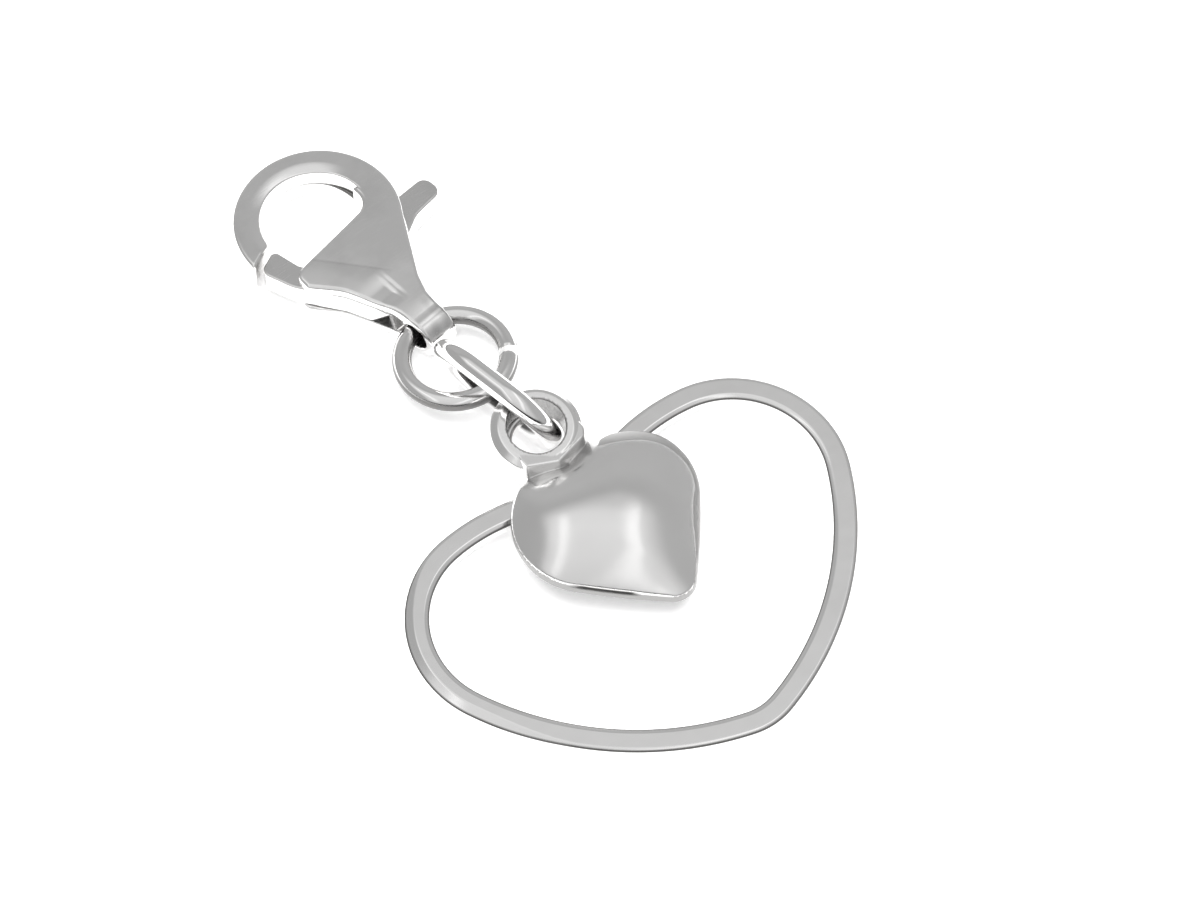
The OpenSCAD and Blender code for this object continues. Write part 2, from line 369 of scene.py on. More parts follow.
def silverPaint(name, look):
    paint, tree = emptied(bpy.data.materials.new(name))
    table = silverWearAndShade
    place = placeInMillimetres(tree)
    cloud = noiseOf(place, table["cloudScale"], 3, 0.55)
    grain = noiseOf(place, table["grainScale"], 3, 0.6)
    hairs = 0
    for turn, stretch in table["hairLays"]:
        streak = noiseOf(turnedPlace(place, turn, stretch), 1.0, 1, 0.4)
        hairs = hairs + streak.ease(table["hairFrom"], table["hairFull"])
    shadeAndTarnish = place.make("ShaderNodeAttribute", {"attribute_name": "shadeAndTarnish"}, None, "Fac")

    darkened = cloud.ease(*table["cloudFade"]) * table["cloudWear"]
    darkened = darkened + grain.ease(*table["grainFade"]) * table["grainWear"]
    tone = colourBetween(look["tone"], look["shade"], darkened)
    # the point attribute pulls the tone towards near black: painted shade on most pieces, tarnish and dark seams
    # in a few places
    tone = colourBetween(tone, table["shadeAndTarnishTone"], shadeAndTarnish)
    marks = cloud + grain.ease(*table["roughFade"]) * look["grain"] + hairs * look["hairs"]
    rough = look["rough"] + marks * table["roughMore"] + shadeAndTarnish * table["shadeAndTarnishRough"]
    wave = noiseOf(place, table["waveScale"], 1, 0.5) * table["waveHigh"]
    lines = hairs * table["hairDeep"] * look["hairs"]
    height = grain * table["grainHigh"] * look["grain"] - lines + wave
    bump = height.make("ShaderNodeBump", None, {"Strength": 1.0, "Distance": mm, "Height": height})
    shader = addNode(tree, "ShaderNodeBsdfPrincipled", None, {
        "Base Color": tone,
        "Metallic": 1.0,
        "Roughness": rough,
        "Normal": bump})
    addNode(tree, "ShaderNodeOutputMaterial", None, {"Surface": shader})
    return paint


paints = {key: silverPaint(key + "Silver", look) for key, look in silverLooks.items()}
print("silver paints are ready")


# Clasp body: hook, cheeks, neck and the barrel at its tail

# pairs give where a fade starts and how far it runs; cuts give a direction and a distance
clasp = {
    "thickness": 2.4, "hookRadius": 3.88, "openingRadius": 2.52, "openingX": -0.15, "openingY": -0.04,
    "outerSoft": 0.2, "innerSoft": 0.07, "noseSoft": 0.14,
    "noseCut": (0.9358, 0.3526, -1.422), "shoulderCut": (0.766, -0.643, 0),
    "bevelWide": 0.55, "bevelDeep": 0.11, "bevelTurn": (95, 45), "bevelRise": 0.3,
    "seamHeight": 1.45, "seamRise": 0.03, "seamWide": 0.06,
    "slotHeight": 1.3, "slotStart": 1.3, "slotEnd": 6.4, "slotSoft": 0.04, "slotTaper": 0.28,
    "taperStart": 5.95, "taperLong": 2, "gateWayX": 0.8, "gateWayY": -0.7,
    "cheekSoft": 0.2, "creaseX": 1.65, "creaseY": -1.56, "creaseFacing": (0.587, -0.81),
    "creaseTilt": 3.5, "creaseSoft": 0.08,
    "neckDrop": 0.05, "neckFrom": (4.0, 2.0), "tailDrop": 0.2, "tailFrom": (6.2, 1.3),
    "stepDrop": 0.06, "stepEdges": ((0.16, -0.2), (-0.1, -0.22)), "stepFrom": (3.9, 0.9), "stepTo": (5.2, 0.8),
    "barrelX": 7.3, "barrelRadius": 0.98, "barrelWide": 1.54, "barrelSoft": 0.14, "barrelFillet": 0.12,
    "holeX": 7.1, "holeRadius": 0.7, "holeSoft": 0.1,
    "pinX": 3.3, "pinY": -1.2, "pinBore": 0.37, "pinTop": 1.95,
    "cell": 0.06,
}
claspMiddle = clasp["thickness"] / 2
claspLie = Matrix.Translation((-1.28, 14.107, 0)) @ Matrix.Rotation(math.radians(-81.9), 4, "Z")
cheekOutline = roundedOutline([
    [2.03, 3.29, 0.05], [0.3, 3.1, 0.1], [-0.2, 2.28, 0.07], [0.95, 2.22, 0.85], [1.46, -2.8, 0.5],
    [2.36, -2.85, 0.4], [3.6, -1.86, 2.5], [6.0, -0.9, 3.0], [7.4, -0.77, 0.05], [7.4, 0.77, 0.05],
    [6.3, 0.83, 0.6], [5.38, 1.2, 2.2]])


def aroundOpening(x, y):
    # distance from the middle of the hook's opening, and turn round it in degrees
    x, y = x - clasp["openingX"], y - clasp["openingY"]
    return np.hypot(x, y), np.degrees(np.arctan2(y, x))


def beyondCrease(x, y):
    # how far a spot lies past the crease that runs across the cheek
    along, across = clasp["creaseFacing"]
    return (x - clasp["creaseX"]) * along + (y - clasp["creaseY"]) * across


def beyondCut(cut, x, y):
    return cut[0] * x + cut[1] * y - cut[2]


def hookSolid(x, y, z):
    rise = np.abs(z - claspMiddle)
    away, turn = aroundOpening(x, y)
    seam = clasp["seamRise"] * ridge(z, clasp["seamHeight"], clasp["seamWide"])
    bevel = np.clip(1 - (away - clasp["openingRadius"]) / clasp["bevelWide"], 0, 1) ** 1.5
    bevel = bevel * risen(turn % 360, *clasp["bevelTurn"]) * risen(z, claspMiddle, clasp["bevelRise"])
    outer = np.hypot(x, y) - clasp["hookRadius"]
    hook = roundedAnd(outer, rise - claspMiddle + clasp["bevelDeep"] * bevel, clasp["outerSoft"])
    hook = roundedAnd(hook, clasp["openingRadius"] - seam - away, clasp["innerSoft"])
    mouth = np.minimum(beyondCut(clasp["noseCut"], x, y), beyondCut(clasp["shoulderCut"], x, y))
    return roundedAnd(hook, mouth, clasp["noseSoft"])


def cheekSolid(x, y, z):
    # flat by the hook, sloped beyond the crease, lower along the neck and at the tail
    rise = np.abs(z - claspMiddle)
    steps = sum(risen(y, *edge) for edge in clasp["stepEdges"])
    dip = clasp["neckDrop"] * risen(x, *clasp["neckFrom"]) + clasp["tailDrop"] * risen(x, *clasp["tailFrom"])
    dip = dip + clasp["stepDrop"] * steps * risen(x, *clasp["stepFrom"]) * (1 - risen(x, *clasp["stepTo"]))
    tilt = math.radians(clasp["creaseTilt"])
    sloped = (rise - claspMiddle) * math.cos(tilt) + beyondCrease(x, y) * math.sin(tilt)
    face = roundedAnd(rise - claspMiddle + dip, sloped, clasp["creaseSoft"])
    return roundedAnd(outlineDistance(cheekOutline, x, y), face, clasp["cheekSoft"])


def claspSolid(x, y, z):
    barrel = np.hypot(x - clasp["barrelX"], z - claspMiddle) - clasp["barrelRadius"]
    barrel = roundedAnd(barrel, np.abs(y) - clasp["barrelWide"] / 2, clasp["barrelSoft"])
    body = filletedOr(np.minimum(hookSolid(x, y, z), cheekSolid(x, y, z)), barrel, clasp["barrelFillet"])

    taper = np.clip(x - clasp["taperStart"], 0, clasp["taperLong"]) * clasp["slotTaper"]
    slotSide = np.abs(z - claspMiddle) - clasp["slotHeight"] / 2 + taper
    slotLong = np.maximum(clasp["slotStart"] - x, x - clasp["slotEnd"])
    gateWay = np.maximum(np.maximum(clasp["gateWayX"] - x, x - clasp["slotEnd"]), y - clasp["gateWayY"])
    slot = np.maximum(slotSide, np.minimum(slotLong, gateWay))
    hole = np.hypot(x - clasp["holeX"], z - claspMiddle) - clasp["holeRadius"]
    bore = np.maximum(np.hypot(x - clasp["pinX"], y - clasp["pinY"]) - clasp["pinBore"], z - clasp["pinTop"])
    body = roundedAnd(body, -slot, clasp["slotSoft"])
    body = roundedAnd(body, -hole, clasp["holeSoft"])
    return np.maximum(body, -bore)


# shades run from 0, bright, to 1, black; lines give their middle and their width
claspShadeAndTarnishValues = {
    "insideShade": 0.85, "slotHalf": 0.62, "slotEnds": (1.2, 6.6), "slotIn": 0.12, "holeHalf": 0.7, "near": 0.1,
    "seamShade": 0.5, "seamDrop": 0.03, "seamThin": 0.09, "seamEdge": (-0.04, 0.08), "nearTurn": (155, -30),
    "wedgeTurn": 132, "wedgeLong": 41, "wedgeDrop": 0.4, "wedgeWide": 0.6, "wedgePower": 1.3,
    "lowShade": 0.55, "lowLine": (0.55, 0.06), "wallTurns": (-95, 40),
    "lipShade": 0.75, "lipLine": (2.06, 0.06), "lipAlong": (0.3, 1.6), "lipAcross": (-2.6, 2.2),
    "creaseShade": 0.2, "creaseLine": (0, 0.06), "slopeShade": 0.1, "slopeFrom": (0, 0.1), "slopeTo": (0.1, 0.8),
    "topRise": (2.0, 0.15), "topStart": 1.2, "topTo": (4.6, -0.8),
    "tailShade": 0.22, "tailMottle": 0.14, "tailRise": (1.7, 0.15), "tailFrom": (6.2, 0.6),
    "tailSide": (0.05, 0.4), "tailEnd": (7.4, 0.3),
}


def claspShadeAndTarnish(points, normals):
    # painted shade inside the slot and the tail's hole, and painted shade along the seam round the opening that
    # widens into a painted shadow towards the cheek
    x, y, z = points.T
    table = claspShadeAndTarnishValues
    fromCheek = outlineDistance(cheekOutline, x, y)
    # painted shade fills the slot and the tail's hole
    inSlot = (np.abs(z - claspMiddle) < table["slotHalf"]) & within(x, table["slotEnds"])
    inSlot = inSlot & (fromCheek < -table["slotIn"])
    fromHole = np.hypot(x - clasp["holeX"], z - claspMiddle) - clasp["holeRadius"]
    inHole = (fromHole < 0.04) & (np.abs(y) < table["holeHalf"])

    away, turn = aroundOpening(x, y)
    near = risen(turn, *table["nearTurn"]) * (turn > 0)
    # painted shade along the seam, and a painted shadow wedge that widens towards the cheek
    spread = np.clip(table["wedgeTurn"] - turn, 0, table["wedgeLong"]) / table["wedgeLong"] * (turn > 0)
    rise = z - clasp["seamHeight"] + table["seamDrop"] + table["wedgeDrop"] * spread
    wide = table["seamThin"] + table["wedgeWide"] * spread ** table["wedgePower"]
    seam = table["seamShade"] * (1 + near) * risen(rise, *table["seamEdge"]) * risen(wide - rise, *table["seamEdge"])
    low = table["lowShade"] * ridge(z, *table["lowLine"]) * (1 - near)
    onWall = (np.abs(away - clasp["openingRadius"]) < table["near"]) & ~within(turn, table["wallTurns"])

    onLip = (np.abs(fromCheek) < table["near"]) & within(x, table["lipAlong"]) & within(y, table["lipAcross"])
    lip = table["lipShade"] * ridge(z, *table["lipLine"]) * onLip
    # painted shade: a dark line along the crease and a darker band on the slope below it
    beyond = beyondCrease(x, y)
    crease = table["creaseShade"] * ridge(beyond, *table["creaseLine"])
    slope = table["slopeShade"] * risen(beyond, *table["slopeFrom"]) * (1 - risen(beyond, *table["slopeTo"]))
    onTop = risen(z, *table["topRise"]) * risen(x, *table["topTo"]) * (x > table["topStart"])
    blotches = table["tailShade"] + table["tailMottle"] * np.sin(5 * x + 3 * y) * np.sin(6 * y - 2 * x)
    onTail = np.maximum(risen(x, *table["tailFrom"]) * risen(y, *table["tailSide"]), risen(x, *table["tailEnd"]))
    tail = risen(z, *table["tailRise"]) * blotches * onTail
    darkened = np.maximum(np.maximum(onTop * (crease + slope), tail), lip)
    darkened = np.where(inSlot | inHole, table["insideShade"], darkened)
    return np.maximum(darkened, np.where(onWall, np.maximum(seam, low), 0))


claspMesh = carvedMesh("lobster_clasp", claspSolid, (-3.9, -3.9, 0), (8.4, 3.9, 2.4), clasp["cell"], claspLie,
                       claspShadeAndTarnish)
showPiece("lobster_clasp", claspMesh, paints["clasp"], "charm", ["clasp_body"])


# Trigger: the gate that closes the hook, and its thumb tab

trigger = {
    "thickness": 1.2, "soft": 0.1, "bore": 0.4, "boreSoft": 0.04,
    "heelStart": 4.9, "heelLow": 0.6, "heelSteep": 1.25, "heelSoft": 0.15, "cell": 0.05,
}
triggerOutline = roundedOutline([
    [0.02, -3.58, 0.45], [1.6, -3.1, 2.0], [2.6, -2.5, 2.0], [3.7, -1.8, 2.0], [5.0, -1.28, 1.5],
    [5.85, -1.04, 0.12], [5.5, -0.45, 0.3], [4.6, -0.2, 0.6], [3.7, 1.6, 1.5], [2.7, 3.6, 1.5],
    [2.55, 5.36, 0.52], [1.36, 5.3, 0.5], [1.36, 2.6, 0.5], [1.6, -1.7, 0.6], [0.95, -2.1, 0.4],
    [-0.5, -2.35, 0.28]])


def triggerSolid(x, y, z):
    faces = np.abs(z - claspMiddle) - trigger["thickness"] / 2
    plate = roundedAnd(outlineDistance(triggerOutline, x, y), faces, trigger["soft"])
    heel = trigger["heelLow"] + (x - trigger["heelStart"]) * trigger["heelSteep"] - z
    plate = roundedAnd(plate, heel / math.hypot(1, trigger["heelSteep"]), trigger["heelSoft"])
    fromPin = np.hypot(x - clasp["pinX"], y - clasp["pinY"])
    return roundedAnd(plate, trigger["bore"] - fromPin, trigger["boreSoft"])


triggerMesh = carvedMesh("clasp_trigger_lever", triggerSolid, (-0.5, -3.7, 0.6), (5.9, 5.4, 1.8), trigger["cell"],
                         claspLie)
showPiece("clasp_trigger_lever", triggerMesh, paints["trigger"], "trigger", ["clasp_trigger"])


# Small puffed heart with its flat-sided loop

smallHeart = {
    "tip": 4.41, "arcs": [[1.0, 44.5], [36, 6.5], [3.42, 96], [2.14, 71]], "wide": 1.05, "outlineStep": 0.02,
    "farLow": 0.08, "farTurn": 56, "farWide": 0.4,
    "domeY": 0.3, "domeHeight": 1.58, "domePower": 2.3, "domeStart": 0.06, "domeSoft": 0.07, "backSoft": 0.14,
    "sheetStep": 0.04, "sheetEdge": 0.04, "sheetRounds": 700, "sheetBox": ((-4.5, 4.51), (-5, 4.5)),
    "rimHeight": 0.42, "rimTurn": -131, "rimFlare": 0.16, "flareStart": 0.1,
    "grooveDeep": 0.07, "grooveWide": 0.08, "grooveRise": 0.04,
    "grooveFrom": (-2.95, 0.25), "grooveTo": (-1.95, -0.2),
    "loopX": -0.03, "loopY": 5.7, "loopRadius": 2.05, "loopHole": 1.3, "loopHeight": 1.3, "holeSoft": 0.08,
    "loopLean": (0.0462, 0.0525), "loopSoft": 0.03,
    "loopBevel": 0.36, "bevelFacing": (0.6, 0.8), "bevelSoft": 0.05,
    "flatFar": 1.81, "flatTurns": (-119, -81), "flatSoft": 0.04,
    "footSpread": 0.4, "footHeight": 1.2, "footIn": 0.5, "footOut": 0.05, "footFrom": (-0.2, -1.4),
    "footSoft": 0.05, "solder": 0.06,
    "cell": 0.06,
}
smallHeartLie = (Matrix.Translation((0.19, -6.793, 1.96)) @ Matrix.Rotation(math.radians(4.5), 4, "Z")
                 @ Matrix.Rotation(math.radians(4.6), 4, "X") @ Matrix.Translation((0, 0, -0.3)))


def heartHalf(tip, arcs, step):
    # arcs [radius, turn] that run on from each other, from the tip up the right side to the heart's axis
    place, heading, points = np.array([0.0, -tip]), 0.0, []
    for radius, turn in arcs:
        middle = place + radius * np.array([-math.sin(heading), math.cos(heading)])
        count = max(3, math.ceil(radius * math.radians(turn) / step))
        for number in range(count):
            now = heading + math.radians(turn) * number / count
            points.append(middle + radius * np.array([math.sin(now), -math.cos(now)]))
        heading += math.radians(turn)
        place = middle + radius * np.array([math.sin(heading), -math.cos(heading)])
    notch = place - np.array([place[0], place[0] * math.tan(heading)])
    count = max(3, math.ceil(np.linalg.norm(place - notch) / step))
    points += [place + (notch - place) * number / count for number in range(count)]
    return np.array(points), notch


def heartOutline(tip, arcs, step):
    half, notch = heartHalf(tip, arcs, step)
    mirrored = half[:0:-1] * [-1, 1]
    return np.concatenate([half, [notch], mirrored])


smallOutline = heartOutline(smallHeart["tip"], smallHeart["arcs"], smallHeart["outlineStep"])
smallOutline = smallOutline * [smallHeart["wide"], 1] - [0, smallHeart["domeY"]]
smallAngles = np.arctan2(smallOutline[:, 1], smallOutline[:, 0])
smallOrder = np.argsort(smallAngles)
smallAngles = smallAngles[smallOrder]
smallReach = np.hypot(*smallOutline.T)[smallOrder]
farSide = ridge(smallAngles, math.radians(smallHeart["farTurn"]), smallHeart["farWide"])
smallReach = smallReach * (1 - smallHeart["farLow"] * farSide)


def raisedSheet(angles, reaches, middleY, box, step, rounds):
    # a thin sheet held along the outline and pushed up evenly, its top at 1
    across, along = np.arange(*box[0], step), np.arange(*box[1], step)
    x, y = np.meshgrid(across, along, indexing="ij")
    reach = np.interp(np.arctan2(y - middleY, x), angles, reaches, period=2 * math.pi)
    inside = np.hypot(x, y - middleY) < reach
    odd = np.add.outer(np.arange(len(across)), np.arange(len(along))) % 2 == 1
    sheet = np.zeros(x.shape)
    push = 2 / (1 + math.sin(math.pi / max(x.shape)))
    for _ in range(rounds):
        for chosen in (inside & odd, inside & ~odd):
            near = sum(np.roll(sheet, way, side) for side in (0, 1) for way in (1, -1))
            sheet = np.where(chosen, sheet + push * ((near + step * step) / 4 - sheet), sheet)
    return sheet / sheet.max(), (across[0], along[0]), step


def sheetAt(field, x, y):
    # smooth cubic blend of the sixteen nearest grid heights
    sheet, corner, step = field
    cellX, cellY = (x - corner[0]) / step, (y - corner[1]) / step
    firstX, firstY = np.floor(cellX).astype(int), np.floor(cellY).astype(int)

    def weights(share):
        return [(1 - share) ** 3 / 6, (3 * share ** 3 - 6 * share ** 2 + 4) / 6,
                (-3 * share ** 3 + 3 * share ** 2 + 3 * share + 1) / 6, share ** 3 / 6]

    weightsX, weightsY = weights(cellX - firstX), weights(cellY - firstY)
    height = 0
    for i in range(4):
        for j in range(4):
            row = np.clip(firstX + i - 1, 0, sheet.shape[0] - 1)
            column = np.clip(firstY + j - 1, 0, sheet.shape[1] - 1)
            height = height + weightsX[i] * weightsY[j] * sheet[row, column]
    return height


smallSheet = raisedSheet(smallAngles, smallReach, smallHeart["domeY"], smallHeart["sheetBox"],
                         smallHeart["sheetStep"], smallHeart["sheetRounds"])


def reachAt(turn):
    return np.interp(turn, smallAngles, smallReach, period=2 * math.pi)


def leftOfTip(turn):
    # where the groove and the painted dark line between dome and rim show
    return risen(turn, *smallHeart["grooveFrom"]) * risen(turn, *smallHeart["grooveTo"])


def domedHeart(x, y, z):
    heart = smallHeart
    turn = np.arctan2(y - heart["domeY"], x)
    away = np.hypot(x, y - heart["domeY"])
    reach = reachAt(turn)
    leaning = (reachAt(turn + 0.01) - reachAt(turn - 0.01)) / 0.02
    wall = (away - reach) * reach / np.hypot(reach, leaning)
    sheet = sheetAt(smallSheet, x, y) * (1 - np.exp(np.minimum(wall, 0) / heart["sheetEdge"]))
    facing = risen(np.cos(turn - math.radians(heart["rimTurn"])), 0.2, 0.6)
    groove = ridge(z, heart["rimHeight"] + heart["grooveRise"], heart["grooveWide"])
    wall = wall + (z - heart["flareStart"]) * heart["rimFlare"] * facing
    wall = wall + heart["grooveDeep"] * leftOfTip(turn) * groove

    share, power = np.sqrt(np.clip(1 - sheet, 0, 1)), heart["domePower"]
    top = heart["rimHeight"] + heart["domeStart"] + heart["domeHeight"] * (1 - share ** power)
    steep = heart["domeHeight"] * power * share ** (power - 1) / 4
    dome = (z - top) / np.hypot(1, steep)
    return roundedAnd(roundedAnd(wall, dome, heart["domeSoft"]), -z, heart["backSoft"])


def smallLoop(x, y, z):
    # the loop has two flats towards the heart and stands on a foot that widens downwards
    heart = smallHeart
    disc = np.hypot(x, y) - heart["loopRadius"]
    leanX, leanY = heart["loopLean"]
    faces = np.maximum(z - heart["loopHeight"] - leanX * x - leanY * y, -z)
    outward, upward = heart["bevelFacing"]
    chamfer = disc * outward + faces * upward + heart["loopBevel"] * outward
    spread = heart["footSpread"] * (heart["loopHeight"] - z)
    out = heart["footIn"] + heart["footOut"] + spread / 2
    foot = disc + heart["footIn"] - out * risen(y, *heart["footFrom"])
    foot = roundedAnd(np.maximum(z - heart["footHeight"], -z), foot, heart["footSoft"])
    for flatTurn in heart["flatTurns"]:
        towards = math.radians(flatTurn)
        flat = x * math.cos(towards) + y * math.sin(towards) - heart["flatFar"]
        disc = roundedAnd(disc, flat, heart["flatSoft"])
        foot = roundedAnd(foot, (flat - spread) / math.hypot(1, heart["footSpread"]), heart["footSoft"])
    loop = roundedAnd(roundedAnd(disc, faces, heart["loopSoft"]), chamfer, heart["bevelSoft"])
    return np.minimum(loop, foot)


def smallHeartSolid(x, y, z):
    loopX, loopY = x - smallHeart["loopX"], y - smallHeart["loopY"]
    both = filletedOr(domedHeart(x, y, z), smallLoop(loopX, loopY, z), smallHeart["solder"])
    return roundedAnd(both, smallHeart["loopHole"] - np.hypot(loopX, loopY), smallHeart["holeSoft"])


smallHeartShadeAndTarnishValues = {
    "rimShade": 0.74, "rimOver": 0.06, "rimEnd": 3.4, "lineRise": 0.05, "lineWide": 0.11,
    "holeShade": 0.55, "holeOver": 0.07, "holeStart": 3.5,
    "jointShade": 0.3, "jointLow": 0.5, "jointEnd": 4.6, "jointFrom": (2.0, 0.1), "jointTo": (2.75, -0.3),
    "farShade": 0.68, "farTurn": 53.1, "farSlope": 43.35, "farLean": 17.48, "farCurl": 2.01, "farRun": 1.2,
    "farSide": (1.0, 0.5, 0), "farFrom": (-0.1, 0.2), "farEnd": 3.6, "farClear": 0.75,
}


def smallHeartShadeAndTarnish(points, normals):
    # painted shade on the rim, standing in for the shaded floor it reflects, and in the hole; a darker joint round
    # the loop; a painted dark line over the rim; and a painted dark band, standing in for a dark reflection, on
    # the steep far side of the heart
    x, y, z = points.T
    table = smallHeartShadeAndTarnishValues
    turn = np.arctan2(y - smallHeart["domeY"], x)
    fromLoop = np.hypot(x - smallHeart["loopX"], y - smallHeart["loopY"])
    # painted shade on the rim wall, standing in for the shaded floor it reflects
    rim = table["rimShade"] * ((z < smallHeart["rimHeight"] + table["rimOver"]) & (y < table["rimEnd"]))
    line = leftOfTip(turn) * ridge(z, smallHeart["rimHeight"] + table["lineRise"], table["lineWide"], 4)
    joint = table["jointShade"] * risen(fromLoop, *table["jointFrom"]) * risen(fromLoop, *table["jointTo"])
    joint = joint * (z > table["jointLow"]) * (y < table["jointEnd"])
    inHole = (fromLoop < smallHeart["loopHole"] + table["holeOver"]) & (y > table["holeStart"])
    darkened = rim + np.where(inHole, table["holeShade"], joint)

    # a painted dark band on the steep far side, standing in for a dark reflection there
    lying = normals @ np.array(smallHeartLie.to_3x3()).T
    slope = np.degrees(np.arccos(np.clip(lying[:, 2], -1, 1)))
    facing = np.cos(np.arctan2(lying[:, 1], lying[:, 0]) - math.radians(table["farTurn"]))
    steep = table["farSlope"] - table["farLean"] * facing + table["farCurl"] * facing ** 3
    far = risen(slope, steep, table["farRun"])
    far = table["farShade"] * far * risen(lying @ np.array(table["farSide"]), *table["farFrom"])
    far = far * ((y < table["farEnd"]) & (fromLoop > smallHeart["loopRadius"] + table["farClear"]))
    return np.maximum(np.maximum(darkened, line), far)


smallHeartMesh = carvedMesh("small_heart", smallHeartSolid, (-4.5, -4.5, 0), (4.5, 7.9, 2.1), smallHeart["cell"],
                            smallHeartLie, smallHeartShadeAndTarnish)
showPiece("small_heart", smallHeartMesh, paints["smallHeart"], "charm", ["puffed_heart"])
print("carved pieces are in place")


# Pieces that follow a path are made by Geometry Nodes

socketKinds = {"Steps": "NodeSocketInt", "Sides": "NodeSocketInt", "Paint": "NodeSocketMaterial"}


def newTree(name, values):
    # the names with a capital in a piece's dictionary are its tree's inputs
    tree = bpy.data.node_groups.new(name, "GeometryNodeTree")
    tree.interface.new_socket(name="Geometry", in_out="INPUT", socket_type="NodeSocketGeometry")
    for label in values:
        if label[0].isupper():
            kind = socketKinds.get(label, "NodeSocketFloat")
            tree.interface.new_socket(name=label, in_out="INPUT", socket_type=kind)
    tree.interface.new_socket(name="Geometry", in_out="OUTPUT", socket_type="NodeSocketGeometry")
    start = addNode(tree, "NodeGroupInput")
    return tree, start


def circleOf(start, radius, sides):
    sizes = {"Resolution": sides, "Radius": radius}
    return start.make("GeometryNodeCurvePrimitiveCircle", {"mode": "RADIUS"}, sizes)


def roundedBox(start, wide, tall, bend, count):
    sizes = {"Width": wide, "Height": tall}
    box = start.make("GeometryNodeCurvePrimitiveQuadrilateral", {"mode": "RECTANGLE"}, sizes)
    return start.make("GeometryNodeFilletCurve", {"mode": "POLY"}, {"Curve": box, "Radius": bend, "Count": count})


def evenSteps(start, curve, step):
    return start.make("GeometryNodeResampleCurve", {"mode": "LENGTH"}, {"Curve": curve, "Length": step})


def endTree(start, shape):
    smooth = shape.make("GeometryNodeSetShadeSmooth", None, {"Geometry": shape})
    real = shape.make("GeometryNodeRealizeInstances", None, {"Geometry": smooth})
    painted = shape.make("GeometryNodeSetMaterial", None, {"Geometry": real, "Material": start.read("Paint")})
    addNode(start.tree, "NodeGroupOutput", None, {"Geometry": painted})


def grownMesh(name, tree, values, lie, path=None, paintedShade=None):
    base = bpy.data.meshes.new(name + "_path")
    if path is not None:
        links = [(number, (number + 1) % len(path)) for number in range(len(path))]
        base.from_pydata([(x, y, 0) for x, y in path], links, [])
    holder = newObject(name + "_path", base)
    modifier = holder.modifiers.new("shape", "NODES")
    modifier.node_group = tree
    for item in tree.interface.items_tree:
        if item.in_out == "INPUT" and item.name in values:
            modifier[item.identifier] = values[item.name]
    graph = bpy.context.evaluated_depsgraph_get()
    grown = holder.evaluated_get(graph)
    mesh = bpy.data.meshes.new_from_object(grown, preserve_all_data_layers=True, depsgraph=graph)
    bpy.data.objects.remove(holder)
    mesh.name = name
    mesh.transform(Matrix.Scale(mm, 4) @ lie)
    # the piece's rule paints shade onto it as a point attribute
    if paintedShade is not None:
        turn = np.array(lie.to_3x3())
        spots = valuesOf(mesh.vertices, "co", wide=3).reshape(-1, 3) / mm - np.array(lie.translation)
        normals = valuesOf(mesh.vertices, "normal", wide=3).reshape(-1, 3)
        addShadeAndTarnish(mesh, paintedShade(spots @ turn, normals, normals @ turn))
    evenShading(mesh)
    return mesh


def valuesOf(items, name, kind=float, wide=1):
    values = np.empty(len(items) * wide, kind)
    items.foreach_get(name, values)
    return values


def evenShading(mesh):
    # large faces keep their own direction, and caps stay flat
    areas = valuesOf(mesh.polygons, "area")
    directions = valuesOf(mesh.polygons, "normal", wide=3).reshape(-1, 3)
    corners = valuesOf(mesh.loops, "vertex_index", np.int32)
    sizes = valuesOf(mesh.polygons, "loop_total", np.int32)
    owner = np.repeat(np.arange(len(mesh.polygons)), sizes)
    sides = sizes[owner] <= 4
    shares = directions[owner] * areas[owner][:, None]
    sums = np.stack([np.bincount(corners[sides], shares[sides, k], len(mesh.vertices)) for k in range(3)], 1)
    sums /= np.maximum(np.linalg.norm(sums, axis=1, keepdims=True), 1e-20)
    normals = np.where(sides[:, None], sums[corners], directions[owner])
    mesh.polygons.foreach_set("use_smooth", np.ones(len(mesh.polygons), bool))
    mesh.normals_split_custom_set([tuple(normal) for normal in normals])


# Open jump ring

openRing = {
    "Radius": 2.4, "Wire": 0.44, "Gap": 9.0, "Steps": 300, "Sides": 48,
    "End Round": 0.12, "End Pinch": 0.09, "End Lift": 0.05, "Paint": paints["wire"],
}
# the lower half's painted shade, how far up a normal points where that starts, and the length at a cut end left
# bright
openRingPaintedShade = {"shade": 0.88, "from": (0.66, -0.22), "end": 0.03}
openRingLie = (Matrix.Translation((-0.33, 4.857, 1.38)) @ Matrix.Rotation(math.radians(-4), 4, "X")
               @ Matrix.Rotation(math.radians(-32), 4, "Z"))


def openRingTree():
    tree, start = newTree("openRing", openRing)
    gap = start.read("Gap") * math.radians(1)
    sweep = 2 * math.pi - gap
    arc = start.make("GeometryNodeCurveArc", {"mode": "RADIUS"}, {
        "Resolution": start.read("Steps"), "Radius": start.read("Radius"),
        "Start Angle": gap / 2, "Sweep Angle": sweep})
    along = start.make("GeometryNodeSplineParameter", None, None, "Factor")
    length = sweep * start.read("Radius")
    fromEnd = along.smaller(1 - along) * length
    nearEnd = 1 - (fromEnd / start.read("End Round")).smaller(1)
    scale = 1 - start.read("End Pinch") * nearEnd ** 2
    swing = ((along - 0.5) * 2) ** 9 * start.read("End Lift")
    offset = start.make("ShaderNodeCombineXYZ", None, {"Z": swing})
    moved = start.make("GeometryNodeSetPosition", None, {"Geometry": arc, "Offset": offset})
    circle = circleOf(start, start.read("Wire"), start.read("Sides"))
    wire = start.make("GeometryNodeCurveToMesh", None,
                      {"Curve": moved, "Profile Curve": circle, "Scale": scale, "Fill Caps": True})
    endTree(start, wire)
    return tree


